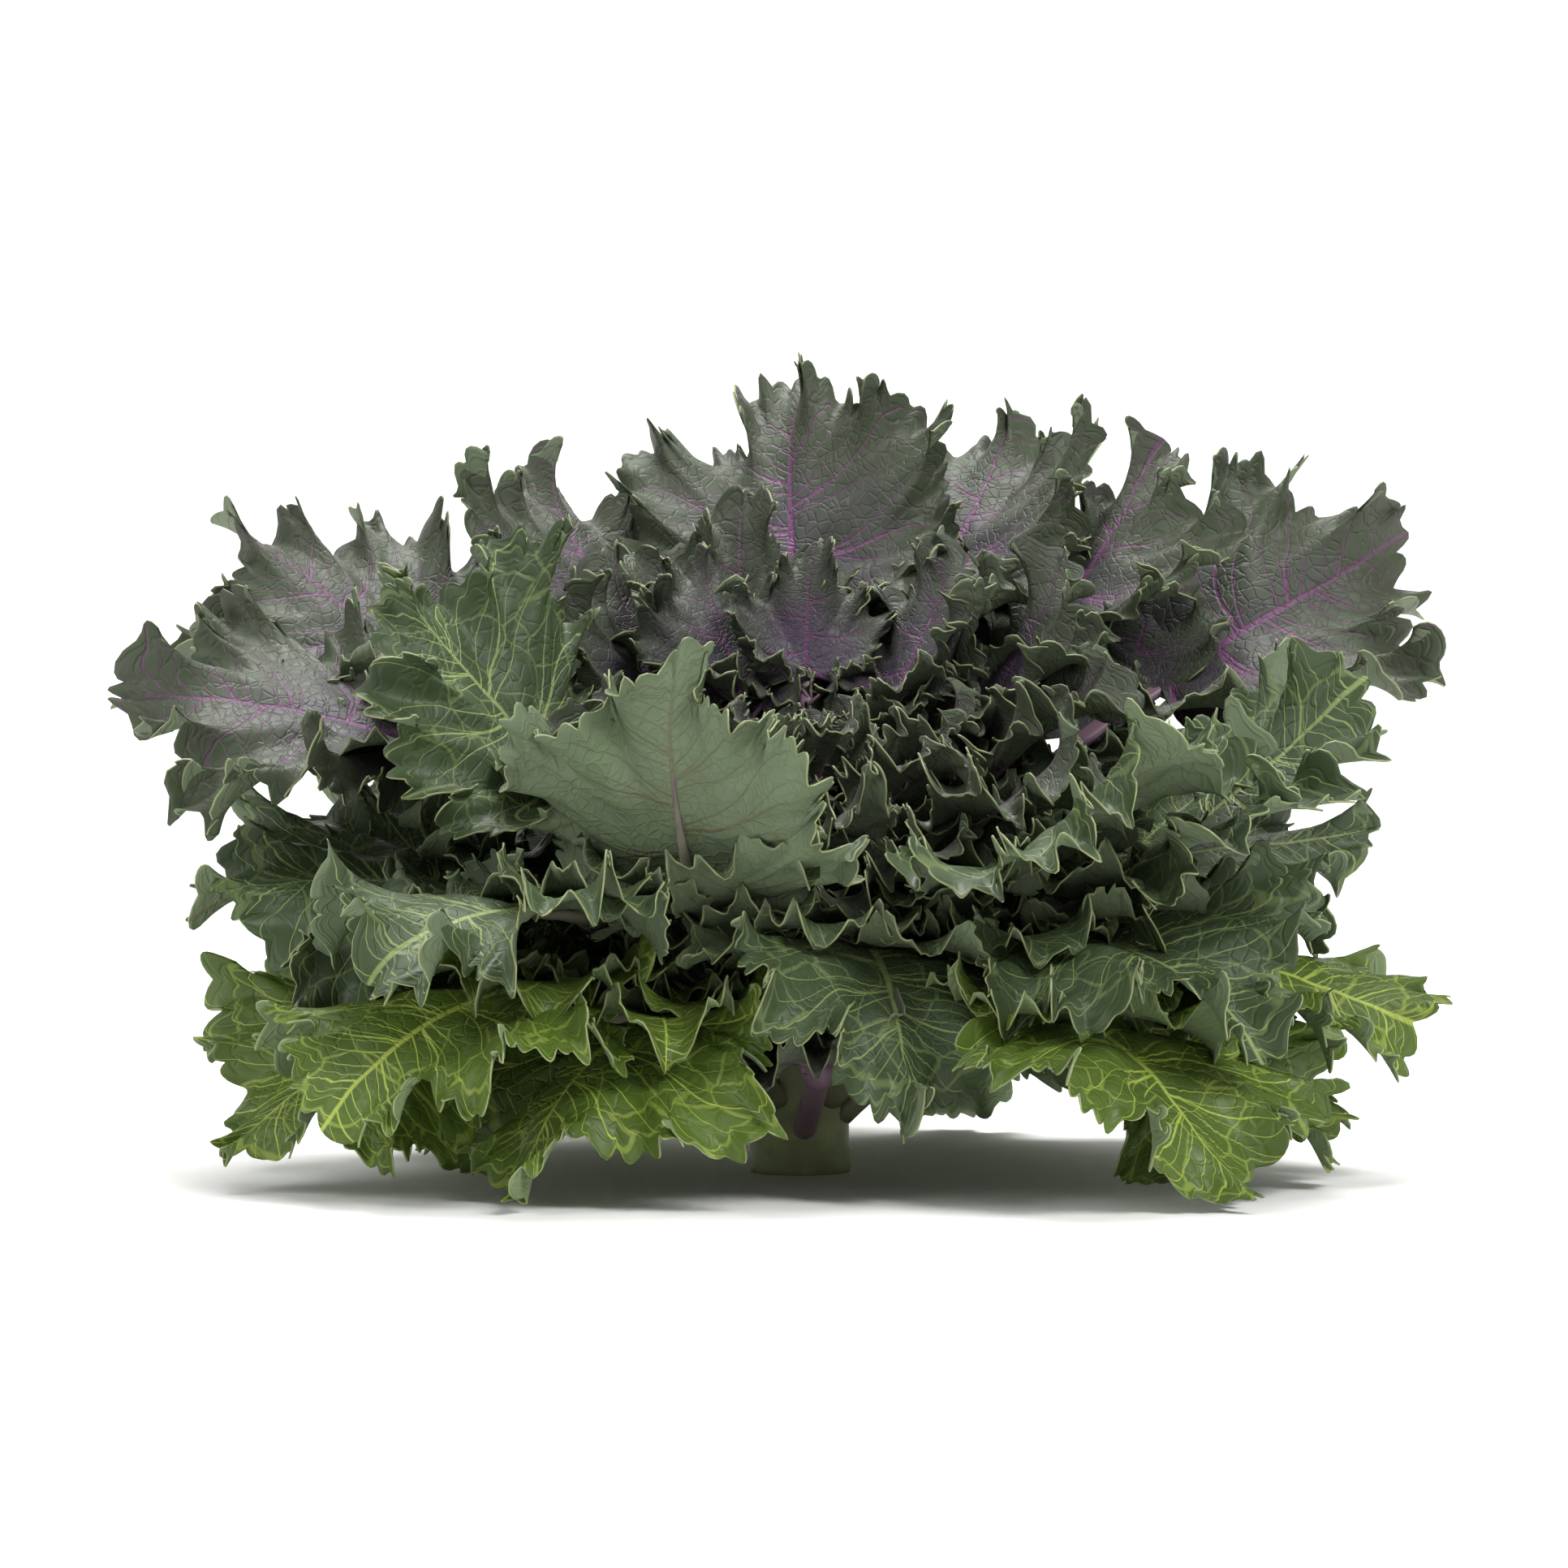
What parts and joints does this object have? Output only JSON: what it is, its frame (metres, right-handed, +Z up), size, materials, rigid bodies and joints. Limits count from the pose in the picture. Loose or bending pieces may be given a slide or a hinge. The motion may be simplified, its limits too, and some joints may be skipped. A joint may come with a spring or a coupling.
{
  "type": "purple kale bunch",
  "caption": "Cut head of purple curly kale: frilled fan-shaped leaves on long stalks round a short stem, with a purple heart and a small side shoot, standing on its cut end.",
  "frame": {"origin": "centre of the head's bounding box, on the surface that it stands on", "axes": "+Z up along the stem, -Y towards the side that it is mostly seen from, +X to the right"},
  "size_m": [0.331, 0.2882, 0.2059],
  "materials": {
    "stem": "pale green stem with leaf scars and a fibrous cut end",
    "old_leaf": "bright green leaf with yellow-green net veins",
    "green_leaf": "green leaf with a thin waxy bloom",
    "bloomed_leaf": "grey-green leaf with a waxy bloom and purple veins",
    "dark_leaf": "dark purple-grey leaf with green margins",
    "purple_leaf": "young purple leaf with pale frilled margins"
  },
  "bodies": {
    "root": {"stem": "stem", "heart": "purple_leaf", "side_shoot": "purple_leaf", "inner_leaf_1": "purple_leaf", "inner_leaf_2": "purple_leaf", "inner_leaf_3": "purple_leaf", "inner_leaf_4": "purple_leaf", "inner_leaf_5": "purple_leaf", "inner_leaf_6": "purple_leaf", "inner_leaf_7": "purple_leaf", "inner_leaf_8": "purple_leaf", "inner_leaf_9": "purple_leaf", "middle_leaf_1": "dark_leaf", "middle_leaf_2": "dark_leaf", "middle_leaf_3": "dark_leaf", "middle_leaf_4": "dark_leaf", "middle_leaf_5": "dark_leaf", "middle_leaf_6": "dark_leaf", "middle_leaf_7": "dark_leaf", "middle_leaf_8": "dark_leaf", "middle_leaf_9": "dark_leaf", "middle_leaf_10": "dark_leaf", "middle_leaf_11": "dark_leaf", "outer_leaf_1": "bloomed_leaf", "outer_leaf_2": "bloomed_leaf", "outer_leaf_3": "bloomed_leaf", "outer_leaf_4": "bloomed_leaf", "outer_leaf_5": "bloomed_leaf", "outer_leaf_6": "bloomed_leaf", "outer_leaf_7": "bloomed_leaf", "outer_leaf_8": "bloomed_leaf", "outer_leaf_9": "bloomed_leaf", "outer_leaf_10": "bloomed_leaf", "spread_leaf_1": "green_leaf", "spread_leaf_2": "green_leaf", "spread_leaf_3": "green_leaf", "spread_leaf_4": "green_leaf", "spread_leaf_5": "green_leaf", "spread_leaf_6": "green_leaf", "spread_leaf_7": "green_leaf", "spread_leaf_8": "green_leaf", "spread_leaf_9": "green_leaf", "spread_leaf_10": "green_leaf", "spread_leaf_11": "green_leaf", "spread_leaf_12": "green_leaf", "spread_leaf_13": "green_leaf", "low_leaf_1": "old_leaf", "low_leaf_2": "old_leaf", "low_leaf_3": "old_leaf", "low_leaf_4": "old_leaf", "low_leaf_5": "old_leaf", "low_leaf_6": "old_leaf", "low_leaf_7": "old_leaf", "low_leaf_8": "old_leaf", "low_leaf_9": "old_leaf", "low_leaf_10": "old_leaf", "low_leaf_11": "old_leaf"}
  },
  "joints": []
}
